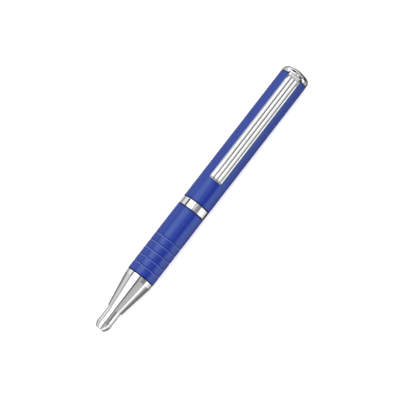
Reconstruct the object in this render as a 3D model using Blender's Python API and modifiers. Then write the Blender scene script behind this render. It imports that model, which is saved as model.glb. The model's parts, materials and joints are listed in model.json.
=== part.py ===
# A telescopic pocket ballpoint pen, closed, lying along X with its clip up.
# The nose points along -X, the crown along +X, and the barrel rests on z = 0.
# Stations are distances from the nose end along the pen, and radii are across
# the flats of the facets, so that a flat faces straight down, up and sideways.

import math

import bmesh
import bpy
from mathutils import Matrix

MM = 0.001

# Outside sizes
OVERALL_LENGTH = 104.6 * MM
BARREL_OD = 9.8 * MM
NOSE_LENGTH = 20.8 * MM
GRIP_LENGTH = 26.2 * MM
RING_LENGTH = 2.8 * MM
CROWN_HEIGHT = 3.3 * MM
EDGE_CHAMFER = 0.12 * MM

# Walls, from the refill outward
REFILL_OD = 2.35 * MM
REFILL_LENGTH = 67.0 * MM
REFILL_WALL = 0.28 * MM
HOLDER_WALL = 0.5 * MM
GUIDE_WALL = 0.45 * MM
ROTOR_WALL = 0.5 * MM
TUBE_WALL = 0.45 * MM
GRIP_WALL = 0.7 * MM
REAR_WALL = 0.55 * MM

# Clearances: between parts that stay together, that slide, and that turn
SEAM = 0.05 * MM
FIT = 0.05 * MM
RUNNING = 0.1 * MM
TURNING = 0.2 * MM

# Nose
NOSE_END_RADIUS = 1.5 * MM
BULB_RADIUS = 2.5 * MM
BULB_LENGTH = 2.85 * MM
BULB_BAND = 0.2 * MM
NECK_RADIUS = 2.38 * MM
NECK_END = 7.7 * MM
CONE_FRONT_RADIUS = 2.75 * MM
NOSE_SHOULDER = 0.135 * MM
NOSE_REAR_BAND = 1.6 * MM
NOSE_BORE_LENGTH = 9.5 * MM
SPIGOT_LENGTH = 5.0 * MM
SPIGOT_WALL = 0.75 * MM

# Grip grooves
GROOVE_COUNT = 5
GROOVE_PITCH = 2.8 * MM
GROOVE_FIRST = 3.2 * MM
GROOVE_WIDTH = 0.4 * MM
GROOVE_DEPTH = 0.17 * MM

# Sliding tube, its bushes and its stop
JOINT_BUSH_LENGTH = 11.0 * MM
JOINT_BUSH_LIP = 1.2 * MM
RING_SPIGOT = 1.8 * MM
SLIDE_BUSH_LENGTH = 7.5 * MM
SLIDE_FIT = 0.08 * MM
STOP_RING_LENGTH = 2.0 * MM
STOP_RING_SPLIT = 1.0 * MM
END_BUSH_HEAD = 0.95 * MM
END_BUSH_SPIGOT = 0.45 * MM
WASHER_THICKNESS = 0.4 * MM

# Crown, its insert and the pin through the drive rod
INSERT_LENGTH = 4.6 * MM
INSERT_SPACE = 0.5 * MM
CROWN_SPIGOT_RADIUS = 1.6 * MM
CROWN_SPIGOT_LENGTH = 1.3 * MM
CROWN_SIDE = 0.9 * MM
CROWN_CORNER = 1.55 * MM
PIN_RADIUS = 0.4 * MM
PIN_SETBACK = 2.0 * MM

# Drive rod, rotor and refill carriage
ROD_WIDTH = 2.0 * MM
ROD_THICKNESS = 0.8 * MM
ROD_SPACE = 0.4 * MM
ROD_ENGAGEMENT = 1.55 * MM
ROD_DEPTH = 3.6 * MM
NUT_LENGTH = 2.0 * MM
NUT_PLAY = 0.2 * MM
CAM_TURN = math.radians(120)
REFILL_TRAVEL = 3.0 * MM
REFILL_RECESS = 0.6 * MM
HOLDER_LENGTH = 8.2 * MM
HOLDER_BACK = 1.35 * MM
LUG_RADIUS = 0.45 * MM
GUIDE_PAST_LUG = 3.7 * MM
GUIDE_FLANGE = 2.0 * MM
SPRING_SEAT = 1.0 * MM
SPRING_LENGTH = 11.6 * MM
SPRING_TURNS = 7
SPRING_WIRE_RADIUS = 0.12 * MM

# Refill tip
TIP_LENGTH = 8.4 * MM
TIP_SPIGOT = 3.0 * MM
TIP_MOUTH_RADIUS = 0.45 * MM
TIP_CONE_LENGTH = 2.6 * MM
TIP_SHOULDER = 0.08 * MM
INK_CHANNEL_RADIUS = 0.22 * MM
BALL_RADIUS = 0.35 * MM
BALL_PLAY = 0.03 * MM

# Clip
CLIP_WIDTH = 4.8 * MM
CLIP_LENGTH = 42.6 * MM
CLIP_SHEET = 0.45 * MM
CLIP_GAP = 0.95 * MM
CLIP_TAB_DEPTH = 1.5 * MM
CLIP_TAB_STATION = 0.35 * MM
CLIP_BEND_LENGTH = 1.5 * MM
CLIP_LIP = 0.7 * MM
RIDGE_COUNT = 3
RIDGE_WIDTH = 1.2 * MM
RIDGE_PITCH = 1.28 * MM
RIDGE_HEIGHT = 0.17 * MM
RIDGE_END = 0.5 * MM
NOTCH_PLAY = 0.15 * MM
NOTCH_HEIGHT = 0.85 * MM

STEPS = 32
SMALL_STEPS = 16
SPRING_POINTS_PER_TURN = 10
CAM_SLOT_POINTS = 18

# Radii worked out from the refill outward
AXIS_HEIGHT = BARREL_OD / 2
REFILL_RADIUS = REFILL_OD / 2
HOLDER_BORE = REFILL_RADIUS + FIT
HOLDER_RADIUS = HOLDER_BORE + HOLDER_WALL
GUIDE_BORE = HOLDER_RADIUS + RUNNING
GUIDE_RADIUS = GUIDE_BORE + GUIDE_WALL
ROTOR_BORE = GUIDE_RADIUS + RUNNING
ROTOR_RADIUS = ROTOR_BORE + ROTOR_WALL
TUBE_BORE = ROTOR_RADIUS + TURNING
TUBE_RADIUS = TUBE_BORE + TUBE_WALL
GRIP_BORE = BARREL_OD / 2 - GRIP_WALL
REAR_BORE = BARREL_OD / 2 - REAR_WALL
SLIDE_BORE = TUBE_RADIUS + SLIDE_FIT
NOSE_BORE = REFILL_RADIUS + RUNNING
NOSE_REAR_RADIUS = BARREL_OD / 2 - NOSE_SHOULDER
ROD_HOLE = math.hypot(ROD_WIDTH, ROD_THICKNESS) / 2 + RUNNING

# Stations of the outside, from the nose end
GRIP_FRONT = NOSE_LENGTH
GRIP_REAR = GRIP_FRONT + GRIP_LENGTH
RING_REAR = GRIP_REAR + RING_LENGTH
CROWN_FRONT = OVERALL_LENGTH - CROWN_HEIGHT

# Stations of the refill carriage
BALL_STATION = REFILL_RECESS + BALL_RADIUS
REFILL_REAR = REFILL_RECESS + REFILL_LENGTH
HOLDER_REAR = REFILL_REAR + SEAM + HOLDER_BACK
HOLDER_FRONT = HOLDER_REAR - HOLDER_LENGTH
LUG_STATION = HOLDER_REAR - HOLDER_BACK / 2
GUIDE_REAR = LUG_STATION + GUIDE_PAST_LUG
GUIDE_FRONT = HOLDER_FRONT - SPRING_LENGTH - SPRING_SEAT

# Stations of the tube and the rotor, from the crown's insert forward
INSERT_FRONT = CROWN_FRONT - INSERT_LENGTH
END_BUSH_REAR = INSERT_FRONT - INSERT_SPACE
TUBE_REAR = END_BUSH_REAR - END_BUSH_HEAD - SEAM
TUBE_FRONT = GRIP_REAR - JOINT_BUSH_LENGTH + JOINT_BUSH_LIP + SEAM
END_BUSH_FRONT = TUBE_REAR - END_BUSH_SPIGOT
WASHER_REAR = END_BUSH_FRONT - SEAM
ROTOR_REAR = WASHER_REAR - WASHER_THICKNESS - RUNNING
ROTOR_FRONT = GUIDE_FRONT + GUIDE_FLANGE + RUNNING
NUT_REAR = ROTOR_REAR - SEAM
NUT_MIDDLE = NUT_REAR - NUT_LENGTH / 2
ROD_FRONT = HOLDER_REAR + ROD_SPACE
ROD_REAR = INSERT_FRONT + ROD_DEPTH
PIN_STATION = INSERT_FRONT + PIN_SETBACK

# The rear barrel slides until only the engagement is left in the nut, and
# the rod turns the rotor through the cam's whole angle on the way.
EXTENSION = NUT_REAR - ROD_ENGAGEMENT - ROD_FRONT
ROD_TWIST_RATE = CAM_TURN / EXTENSION
SLIDE_BUSH_FRONT = RING_REAR + RING_SPIGOT + SEAM
SLIDE_BUSH_REAR = SLIDE_BUSH_FRONT + SLIDE_BUSH_LENGTH
STOP_RING_FRONT = SLIDE_BUSH_REAR + EXTENSION + RUNNING

# The clip's turning point is the inner end of its tab, under the crown
CLIP_PIVOT_STATION = CROWN_FRONT + CLIP_TAB_STATION
CLIP_PIVOT_RADIUS = BARREL_OD / 2 - CLIP_TAB_DEPTH
CLIP_UNDERSIDE = BARREL_OD / 2 + CLIP_GAP


def clear_scene():
    for obj in list(bpy.data.objects):
        bpy.data.objects.remove(obj, do_unlink=True)


def new_collection(name):
    collection = bpy.data.collections.new(name)
    bpy.context.scene.collection.children.link(collection)
    return collection


def new_empty(name, location=(0, 0, 0), parent=None):
    empty = bpy.data.objects.new(name, None)
    empty.empty_display_size = BARREL_OD
    empty.location = location
    empty.parent = parent
    PARTS.objects.link(empty)
    return empty


def new_material(name, colour, roughness, metallic):
    material = bpy.data.materials.new(name)
    material.use_nodes = True
    shader = material.node_tree.nodes["Principled BSDF"]
    shader.inputs["Base Color"].default_value = (*colour, 1)
    shader.inputs["Roughness"].default_value = roughness
    shader.inputs["Metallic"].default_value = metallic
    material.diffuse_color = (*colour, 1)
    return material


def add_object(name, mesh, material, body, collection=None):
    obj = bpy.data.objects.new(name, mesh)
    obj.parent = body
    if material:
        mesh.materials.append(material)
    (collection or PARTS).objects.link(obj)
    return obj


def make_cutter(obj):
    obj.hide_render = True
    obj.display_type = "WIRE"
    return obj


def boolean(obj, operation, other):
    modifier = obj.modifiers.new(operation.title(), "BOOLEAN")
    modifier.operation = operation
    modifier.solver = "EXACT"
    modifier.object = other


def turned(name, outline, material, body, steps=STEPS):
    """A shape turned about the pen's axis from (station, radius) points: the
    outer side from crown to nose, then the bore back. An outline that starts
    and ends on the axis is left open there; any other is a closed loop."""
    across_flats = 1 / math.cos(math.pi / steps)
    points = [(station, radius * across_flats, 0) for station, radius in outline]
    edges = [(i, i + 1) for i in range(len(points) - 1)]
    if outline[0][1] > 0:
        edges.append((len(points) - 1, 0))
    mesh = bpy.data.meshes.new(name)
    mesh.from_pydata(points, edges, [])
    obj = add_object(name, mesh, material, body)
    obj.rotation_euler.x = math.pi / steps
    screw = obj.modifiers.new("Turn", "SCREW")
    screw.axis = "X"
    screw.angle = 2 * math.pi
    screw.steps = steps
    screw.render_steps = steps
    screw.use_merge_vertices = True
    screw.merge_threshold = 0.001 * MM
    screw.use_smooth_shade = True
    return obj


def ring(name, front, rear, bore, radius, material, body):
    outline = [(rear, radius), (front, radius), (front, bore), (rear, bore)]
    return turned(name, outline, material, body)


def box_cutter(name, centre, size, body, angle=0.0):
    """A box of the given size, turned by an angle about the pen's axis."""
    mesh = bpy.data.meshes.new(name)
    shape = bmesh.new()
    bmesh.ops.create_cube(shape, size=1, matrix=Matrix.Diagonal((*size, 1)))
    shape.to_mesh(mesh)
    shape.free()
    cutter = add_object(name, mesh, None, body, CUTTERS)
    cutter.location = centre
    cutter.rotation_euler.x = angle
    return make_cutter(cutter)


def cylinder_mesh(name, radius, length, steps, matrix):
    """A closed cylinder whose axis is the matrix's Z."""
    mesh = bpy.data.meshes.new(name)
    shape = bmesh.new()
    bmesh.ops.create_cone(
        shape,
        cap_ends=True,
        segments=steps,
        radius1=radius,
        radius2=radius,
        depth=length,
        matrix=matrix,
    )
    shape.to_mesh(mesh)
    shape.free()
    return mesh


def crosswise(station, angle):
    """A frame at a station whose Z lies across the pen, turned from up
    towards -Y by an angle about the pen's axis."""
    return Matrix.Translation((station, 0, 0)) @ Matrix.Rotation(angle, 4, "X")


def mesh_from_curve(curve_object, body, collection):
    """The curve's shape as a mesh object with its caps welded on."""
    bpy.context.view_layer.update()
    graph = bpy.context.evaluated_depsgraph_get()
    mesh = bpy.data.meshes.new_from_object(curve_object.evaluated_get(graph))
    shape = bmesh.new()
    shape.from_mesh(mesh)
    bmesh.ops.remove_doubles(shape, verts=shape.verts, dist=0.001 * MM)
    bmesh.ops.recalc_face_normals(shape, faces=shape.faces)
    shape.to_mesh(mesh)
    shape.free()
    obj = bpy.data.objects.new(curve_object.name, mesh)
    collection.objects.link(obj)
    obj.parent = body
    obj.matrix_world = curve_object.matrix_world
    name = curve_object.name
    bpy.data.objects.remove(curve_object, do_unlink=True)
    obj.name = name
    mesh.name = name
    return obj


def round_wire(name, points, radius, resolution, material, body, collection=None):
    """A wire of round section through the points, with filled ends."""
    curve = bpy.data.curves.new(name, "CURVE")
    curve.dimensions = "3D"
    curve.bevel_depth = radius
    curve.bevel_resolution = resolution
    curve.use_fill_caps = True
    spline = curve.splines.new("POLY")
    spline.points.add(len(points) - 1)
    for point, place in zip(spline.points, points):
        point.co = (*place, 1)
    wire = bpy.data.objects.new(name, curve)
    wire.parent = body
    if material:
        curve.materials.append(material)
    (collection or PARTS).objects.link(wire)
    return wire


def flat_shape(name, outline, thickness, turn, material, body, collection):
    """A flat outline given thickness, half to each side, then turned by a matrix."""
    curve = bpy.data.curves.new(name, "CURVE")
    curve.dimensions = "2D"
    curve.fill_mode = "BOTH"
    curve.extrude = thickness / 2
    if material:
        curve.materials.append(material)
    spline = curve.splines.new("POLY")
    spline.points.add(len(outline) - 1)
    for point, (across, up) in zip(spline.points, outline):
        point.co = (across, up, 0, 1)
    spline.use_cyclic_u = True
    shape = bpy.data.objects.new(name, curve)
    collection.objects.link(shape)
    shape.parent = body
    shape.matrix_basis = turn
    return mesh_from_curve(shape, body, collection)


def helix(front, rear, radius, angle_front, angle_rear, count):
    """Points along a helix about the pen's axis, with angles from straight up."""
    points = []
    for i in range(count + 1):
        share = i / count
        angle = angle_front + (angle_rear - angle_front) * share
        station = front + (rear - front) * share
        points.append((station, -radius * math.sin(angle), radius * math.cos(angle)))
    return points


def nose_cone(body):
    rear = NOSE_LENGTH - SEAM
    cone_rear = NOSE_LENGTH - NOSE_REAR_BAND
    spigot = GRIP_BORE - FIT
    spigot_bore = spigot - SPIGOT_WALL
    bulb_front = BULB_LENGTH - BULB_BAND
    outline = [
        (rear + SPIGOT_LENGTH, spigot),
        (rear, spigot),
        (rear, NOSE_REAR_RADIUS),
        (cone_rear, NOSE_REAR_RADIUS),
        (NECK_END, CONE_FRONT_RADIUS),
        (NECK_END, NECK_RADIUS),
        (BULB_LENGTH, NECK_RADIUS),
        (BULB_LENGTH, BULB_RADIUS),
        (bulb_front, BULB_RADIUS),
    ]
    for i in range(1, 5):
        share = i / 5
        radius = BULB_RADIUS - (BULB_RADIUS - NOSE_END_RADIUS) * share**2
        outline.append((bulb_front * (1 - share), radius))
    outline += [
        (0, NOSE_END_RADIUS),
        (0, NOSE_BORE),
        (NOSE_BORE_LENGTH, NOSE_BORE),
        (cone_rear - 2 * NOSE_REAR_BAND, spigot_bore),
        (rear + SPIGOT_LENGTH, spigot_bore),
    ]
    return turned("nose_cone", outline, CHROME, body)


def grip_barrel(body):
    front = GRIP_FRONT
    rear = GRIP_REAR - SEAM
    radius = BARREL_OD / 2
    outline = [(rear, radius - EDGE_CHAMFER), (rear - EDGE_CHAMFER, radius)]
    for i in reversed(range(GROOVE_COUNT)):
        groove = front + GROOVE_FIRST + i * GROOVE_PITCH
        outline += [
            (groove + GROOVE_WIDTH / 2, radius),
            (groove, radius - GROOVE_DEPTH),
            (groove - GROOVE_WIDTH / 2, radius),
        ]
    outline += [
        (front + EDGE_CHAMFER, radius),
        (front, radius - EDGE_CHAMFER),
        (front, GRIP_BORE),
        (rear, GRIP_BORE),
    ]
    return turned("grip_barrel", outline, BLUE_LACQUER, body)


def joint_bush(body):
    """Screws into the grip barrel and holds the front of the sliding tube."""
    front = GRIP_REAR - JOINT_BUSH_LENGTH
    rear = GRIP_REAR - 2 * SEAM
    radius = GRIP_BORE - FIT
    outline = [
        (rear, radius),
        (front, radius),
        (front, TUBE_BORE),
        (front + JOINT_BUSH_LIP, TUBE_BORE),
        (front + JOINT_BUSH_LIP, TUBE_RADIUS + FIT),
        (rear, TUBE_RADIUS + FIT),
    ]
    return turned("joint_bush", outline, BRASS, body)


def inner_tube(body):
    return ring("inner_tube", TUBE_FRONT, TUBE_REAR, TUBE_BORE, TUBE_RADIUS, CHROME, body)


def stop_ring(body):
    """A split ring snapped round the tube, which meets the slide bush when
    the pen is drawn right out."""
    rear = STOP_RING_FRONT + STOP_RING_LENGTH
    radius = REAR_BORE - RUNNING
    obj = ring("stop_ring", STOP_RING_FRONT, rear, TUBE_RADIUS + FIT, radius, BRASS, body)
    middle = (STOP_RING_FRONT + rear) / 2
    size = (2 * STOP_RING_LENGTH, STOP_RING_SPLIT, 2 * radius)
    boolean(obj, "DIFFERENCE", box_cutter("stop_ring_split", (middle, 0, -radius), size, body))
    return obj


def guide_sleeve(body):
    """Fixed in the tube: its two straight slots keep the refill holder from
    turning, and its step is the return spring's seat."""
    flange_rear = GUIDE_FRONT + GUIDE_FLANGE
    seat = GUIDE_FRONT + SPRING_SEAT
    outline = [
        (GUIDE_REAR, GUIDE_RADIUS),
        (flange_rear, GUIDE_RADIUS),
        (flange_rear, TUBE_BORE - FIT),
        (GUIDE_FRONT, TUBE_BORE - FIT),
        (GUIDE_FRONT, REFILL_RADIUS + RUNNING),
        (seat, REFILL_RADIUS + RUNNING),
        (seat, GUIDE_BORE),
        (GUIDE_REAR, GUIDE_BORE),
    ]
    obj = turned("guide_sleeve", outline, GREY_PLASTIC, body)
    slot_width = 2 * (LUG_RADIUS + RUNNING)
    size = (REFILL_TRAVEL + slot_width, slot_width, 4 * GUIDE_RADIUS)
    centre = (LUG_STATION - REFILL_TRAVEL / 2, 0, 0)
    boolean(obj, "DIFFERENCE", box_cutter("guide_slots", centre, size, body))
    return obj


def return_spring(body):
    """A light compression spring round the refill, under the holder."""
    end = SEAM + SPRING_WIRE_RADIUS
    front = GUIDE_FRONT + SPRING_SEAT + end
    radius = (GUIDE_BORE + REFILL_RADIUS) / 2
    count = SPRING_TURNS * SPRING_POINTS_PER_TURN
    turns = SPRING_TURNS * 2 * math.pi
    points = helix(front, HOLDER_FRONT - end, radius, 0, turns, count)
    return round_wire("return_spring", points, SPRING_WIRE_RADIUS, 1, STEEL, body)


def thrust_washer(body):
    front = WASHER_REAR - WASHER_THICKNESS
    radius = TUBE_BORE - FIT
    return ring("thrust_washer", front, WASHER_REAR, ROD_HOLE, radius, STEEL, body)


def tube_end_bush(body):
    """Closes the tube's rear end behind the rotor, and lets the rod through."""
    outline = [
        (END_BUSH_REAR, TUBE_RADIUS),
        (TUBE_REAR + SEAM, TUBE_RADIUS),
        (TUBE_REAR + SEAM, TUBE_BORE - FIT),
        (END_BUSH_FRONT, TUBE_BORE - FIT),
        (END_BUSH_FRONT, ROD_HOLE),
        (END_BUSH_REAR, ROD_HOLE),
    ]
    return turned("tube_end_bush", outline, BLACK_PLASTIC, body)


def rear_barrel(body):
    front = RING_REAR + SEAM
    rear = CROWN_FRONT
    radius = BARREL_OD / 2
    outline = [
        (rear, radius - EDGE_CHAMFER),
        (rear - EDGE_CHAMFER, radius),
        (front + EDGE_CHAMFER, radius),
        (front, radius - EDGE_CHAMFER),
        (front, REAR_BORE),
        (rear, REAR_BORE),
    ]
    return turned("rear_barrel", outline, BLUE_LACQUER, body)


def centre_ring(body):
    """The bright band, with a spigot pressed into the rear barrel."""
    radius = BARREL_OD / 2
    outline = [
        (RING_REAR + RING_SPIGOT, REAR_BORE - FIT),
        (RING_REAR, REAR_BORE - FIT),
        (RING_REAR, radius - EDGE_CHAMFER),
        (RING_REAR - EDGE_CHAMFER, radius),
        (GRIP_REAR + EDGE_CHAMFER, radius),
        (GRIP_REAR, radius - EDGE_CHAMFER),
        (GRIP_REAR, SLIDE_BORE),
        (RING_REAR + RING_SPIGOT, SLIDE_BORE),
    ]
    return turned("centre_ring", outline, CHROME, body)


def slide_bush(body):
    radius = REAR_BORE - FIT
    front, rear = SLIDE_BUSH_FRONT, SLIDE_BUSH_REAR
    return ring("slide_bush", front, rear, SLIDE_BORE, radius, WHITE_PLASTIC, body)


def crown_insert(body):
    """Pressed into the rear barrel: it carries the crown and the drive rod."""
    rear = CROWN_FRONT - SEAM
    outline = [
        (CROWN_FRONT + CROWN_SPIGOT_LENGTH, 0),
        (CROWN_FRONT + CROWN_SPIGOT_LENGTH, CROWN_SPIGOT_RADIUS),
        (rear, CROWN_SPIGOT_RADIUS),
        (rear, REAR_BORE - FIT),
        (INSERT_FRONT, REAR_BORE - FIT),
        (INSERT_FRONT, ROD_HOLE),
        (ROD_REAR + SEAM, ROD_HOLE),
        (ROD_REAR + SEAM, 0),
    ]
    obj = turned("crown_insert", outline, BRASS, body)
    boolean(obj, "DIFFERENCE", pin_hole("insert_pin_hole", body))
    return obj


def rod_angle(station):
    """How far the rod's flat is turned at a station, from its place in the nut."""
    return ROD_TWIST_RATE * (station - NUT_MIDDLE)


def pin_frame():
    """Across the rod, square to its flat, which is upright in the nut."""
    return crosswise(PIN_STATION, rod_angle(PIN_STATION) + math.pi / 2)


def pin_hole(name, body):
    mesh = cylinder_mesh(name, PIN_RADIUS + FIT, 2 * BARREL_OD, SMALL_STEPS, pin_frame())
    return make_cutter(add_object(name, mesh, None, body, CUTTERS))


def rod_pin(body):
    length = 2 * (REAR_BORE - 2 * FIT - EDGE_CHAMFER)
    mesh = cylinder_mesh("rod_pin", PIN_RADIUS, length, SMALL_STEPS, pin_frame())
    return add_object("rod_pin", mesh, STEEL, body)


def drive_rod(body):
    """A flat strip twisted at a steady rate about the pen's axis."""
    length = ROD_REAR - ROD_FRONT
    middle = (ROD_FRONT + ROD_REAR) / 2 - NUT_MIDDLE
    shape = bmesh.new()
    size = Matrix.Diagonal((length, ROD_THICKNESS, ROD_WIDTH, 1))
    bmesh.ops.create_cube(shape, size=1, matrix=Matrix.Translation((middle, 0, 0)) @ size)
    lengthwise = [
        edge for edge in shape.edges if abs(edge.verts[0].co.x - edge.verts[1].co.x) > length / 2
    ]
    cuts = round(length / ROD_WIDTH) - 1
    bmesh.ops.subdivide_edges(shape, edges=lengthwise, cuts=cuts, use_grid_fill=True)
    mesh = bpy.data.meshes.new("drive_rod")
    shape.to_mesh(mesh)
    shape.free()
    obj = add_object("drive_rod", mesh, STEEL, body)
    obj.location.x = NUT_MIDDLE
    twist = obj.modifiers.new("Twist", "SIMPLE_DEFORM")
    twist.deform_method = "TWIST"
    twist.deform_axis = "X"
    twist.angle = ROD_TWIST_RATE * length
    boolean(obj, "DIFFERENCE", pin_hole("rod_pin_hole", body))
    return obj


def crown(body):
    """A domed cap with a notch on top for the clip's tab."""
    front = CROWN_FRONT + SEAM
    radius = BARREL_OD / 2
    shoulder = CROWN_FRONT + CROWN_SIDE
    dome_edge = shoulder + CROWN_CORNER
    dome_radius = radius - CROWN_CORNER
    rise = OVERALL_LENGTH - dome_edge
    outline = []
    for i in range(4):
        share = i / 4
        outline.append((OVERALL_LENGTH - rise * share**2, dome_radius * share))
    for i in range(5):
        angle = math.radians(90 * i / 4)
        station = shoulder + CROWN_CORNER * math.cos(angle)
        outline.append((station, dome_radius + CROWN_CORNER * math.sin(angle)))
    outline += [
        (front + EDGE_CHAMFER, radius),
        (front, radius - EDGE_CHAMFER),
        (front, CROWN_SPIGOT_RADIUS + FIT),
        (CROWN_FRONT + CROWN_SPIGOT_LENGTH + SEAM, CROWN_SPIGOT_RADIUS + FIT),
        (CROWN_FRONT + CROWN_SPIGOT_LENGTH + SEAM, 0),
    ]
    obj = turned("crown", outline, CHROME, body)
    floor = CLIP_PIVOT_RADIUS - NOTCH_PLAY
    height = BARREL_OD - floor
    size = (2 * NOTCH_HEIGHT, CLIP_WIDTH + 2 * NOTCH_PLAY, height)
    centre = (CROWN_FRONT, 0, floor + height / 2)
    boolean(obj, "DIFFERENCE", box_cutter("crown_notch", centre, size, body))
    return obj


def clip_side_outline():
    """The clip seen from the side: a tab under the crown, a slope up, the
    straight arm, and an end turned down to the barrel. Each point is given
    from the turning point, top side first and the underside back."""
    sheet = CLIP_SHEET
    underside = CLIP_UNDERSIDE - CLIP_PIVOT_RADIUS
    top = underside + sheet
    tab_top = BARREL_OD / 2 + SEAM - CLIP_PIVOT_RADIUS
    bend = -sheet / 2 - CLIP_BEND_LENGTH
    end = CROWN_FRONT - CLIP_LENGTH - CLIP_PIVOT_STATION
    lip_foot = underside - CLIP_LIP
    return [
        (sheet / 2, 0),
        (sheet / 2, tab_top + sheet),
        (bend + sheet, top),
        (end + sheet, top),
        (end + 0.3 * sheet, top - 0.25 * sheet),
        (end, top - 0.8 * sheet),
        (end, lip_foot),
        (end + sheet, lip_foot),
        (end + sheet, underside),
        (bend + 0.6 * sheet, underside),
        (-sheet / 2, tab_top),
        (-sheet / 2, 0),
    ]


def ridge_outline():
    """A shallow arc with its foot let into the sheet."""
    half = RIDGE_WIDTH / 2
    arc_radius = (half**2 + RIDGE_HEIGHT**2) / (2 * RIDGE_HEIGHT)
    half_angle = math.asin(half / arc_radius)
    points = []
    for i in range(9):
        angle = half_angle * (1 - i / 4)
        height = arc_radius * math.cos(angle) - arc_radius + RIDGE_HEIGHT
        points.append((arc_radius * math.sin(angle), height))
    foot = -CLIP_SHEET / 3
    points += [(-half, foot), (half, foot)]
    return points


def clip(body):
    on_edge = Matrix.Rotation(math.pi / 2, 4, "X")
    obj = flat_shape("clip", clip_side_outline(), CLIP_WIDTH, on_edge, CHROME, body, PARTS)
    arm_end = CROWN_FRONT - CLIP_LENGTH - CLIP_PIVOT_STATION + RIDGE_END
    arm_root = -CLIP_SHEET / 2 - CLIP_BEND_LENGTH
    top = CLIP_UNDERSIDE + CLIP_SHEET - CLIP_PIVOT_RADIUS
    along_pen = Matrix(((0, 0, 1, 0), (1, 0, 0, 0), (0, 1, 0, 0), (0, 0, 0, 1)))
    for i in range(RIDGE_COUNT):
        across = (i - (RIDGE_COUNT - 1) / 2) * RIDGE_PITCH
        middle = ((arm_end + arm_root) / 2, across, top)
        turn = Matrix.Translation(middle) @ along_pen
        name = f"clip_ridge_{i + 1}"
        ridge = flat_shape(name, ridge_outline(), arm_root - arm_end, turn, None, body, CUTTERS)
        boolean(obj, "UNION", make_cutter(ridge))
    return obj


def cam_rotor(body):
    """A sleeve that the rod turns: its two cam slots push the holder's lugs."""
    obj = ring("cam_rotor", ROTOR_FRONT, ROTOR_REAR, ROTOR_BORE, ROTOR_RADIUS, STEEL, body)
    radius = (ROTOR_BORE + ROTOR_RADIUS) / 2
    width = math.hypot(LUG_RADIUS + RUNNING, ROTOR_WALL / 2) + FIT
    past_lug = (LUG_RADIUS + 2 * RUNNING) / (radius * CAM_TURN)
    front = LUG_STATION - REFILL_TRAVEL * (1 + past_lug)
    rear = LUG_STATION + REFILL_TRAVEL * past_lug
    for i in range(2):
        start = i * math.pi - CAM_TURN * past_lug
        end = i * math.pi + CAM_TURN * (1 + past_lug)
        points = helix(front, rear, radius, end, start, CAM_SLOT_POINTS)
        wire = round_wire(f"cam_slot_{i + 1}", points, width, 2, None, body, CUTTERS)
        boolean(obj, "DIFFERENCE", make_cutter(mesh_from_curve(wire, body, CUTTERS)))
    return obj


def drive_nut(body):
    """Pressed into the rotor's rear end, with a flat hole that follows the rod."""
    front = NUT_REAR - NUT_LENGTH
    radius = ROTOR_BORE - FIT
    outline = [(NUT_REAR, 0), (NUT_REAR, radius), (front, radius), (front, 0)]
    obj = turned("drive_nut", outline, BRASS, body)
    size = (2 * NUT_LENGTH, ROD_THICKNESS + 2 * NUT_PLAY, ROD_WIDTH + 2 * NUT_PLAY)
    boolean(obj, "DIFFERENCE", box_cutter("nut_hole", (NUT_MIDDLE, 0, 0), size, body))
    return obj


def refill_holder(body):
    """A cup on the refill's rear end, with a lug on each side of its back."""
    bottom = REFILL_REAR + SEAM
    outline = [
        (HOLDER_REAR, 0),
        (HOLDER_REAR, HOLDER_RADIUS),
        (HOLDER_FRONT, HOLDER_RADIUS),
        (HOLDER_FRONT, HOLDER_BORE),
        (bottom, HOLDER_BORE),
        (bottom, 0),
    ]
    obj = turned("refill_holder", outline, WHITE_PLASTIC, body)
    length = 2 * (ROTOR_RADIUS - FIT)
    frame = crosswise(LUG_STATION, 0)
    mesh = cylinder_mesh("holder_lugs", LUG_RADIUS, length, SMALL_STEPS, frame)
    lugs = make_cutter(add_object("holder_lugs", mesh, None, body, CUTTERS))
    boolean(obj, "UNION", lugs)
    return obj


def refill_tube(body):
    front = REFILL_RECESS + TIP_LENGTH + SEAM
    bore = REFILL_RADIUS - REFILL_WALL
    return ring("refill_tube", front, REFILL_REAR, bore, REFILL_RADIUS, STEEL, body)


def refill_tip(body):
    """The writing point: a cone with the ball's socket, an ink channel, and
    a spigot that plugs the refill's tube."""
    front = BALL_STATION - BALL_RADIUS / 2
    tip_rear = REFILL_RECESS + TIP_LENGTH
    cone_rear = front + TIP_CONE_LENGTH
    socket = BALL_RADIUS + BALL_PLAY
    mouth = math.sqrt(BALL_RADIUS**2 - (BALL_RADIUS / 2) ** 2) + BALL_PLAY
    spigot = REFILL_RADIUS - REFILL_WALL - FIT
    body_radius = REFILL_RADIUS - TIP_SHOULDER
    outline = [
        (tip_rear + TIP_SPIGOT, spigot),
        (tip_rear, spigot),
        (tip_rear, REFILL_RADIUS),
        (tip_rear - TIP_LENGTH / 4, body_radius),
        (cone_rear, body_radius),
        (front, TIP_MOUTH_RADIUS),
        (front, mouth),
        (BALL_STATION - BALL_RADIUS / 4, socket),
        (BALL_STATION + socket, socket),
        (BALL_STATION + 1.5 * socket, INK_CHANNEL_RADIUS),
        (tip_rear + TIP_SPIGOT, INK_CHANNEL_RADIUS),
    ]
    return turned("refill_tip", outline, NICKEL, body, SMALL_STEPS)


def tip_ball(body):
    mesh = bpy.data.meshes.new("tip_ball")
    shape = bmesh.new()
    bmesh.ops.create_uvsphere(shape, u_segments=12, v_segments=8, radius=BALL_RADIUS)
    shape.to_mesh(mesh)
    shape.free()
    mesh.shade_smooth()
    return add_object("tip_ball", mesh, STEEL, body)


clear_scene()
PARTS = new_collection("telescopic_pen")
CUTTERS = new_collection("cutters")

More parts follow.
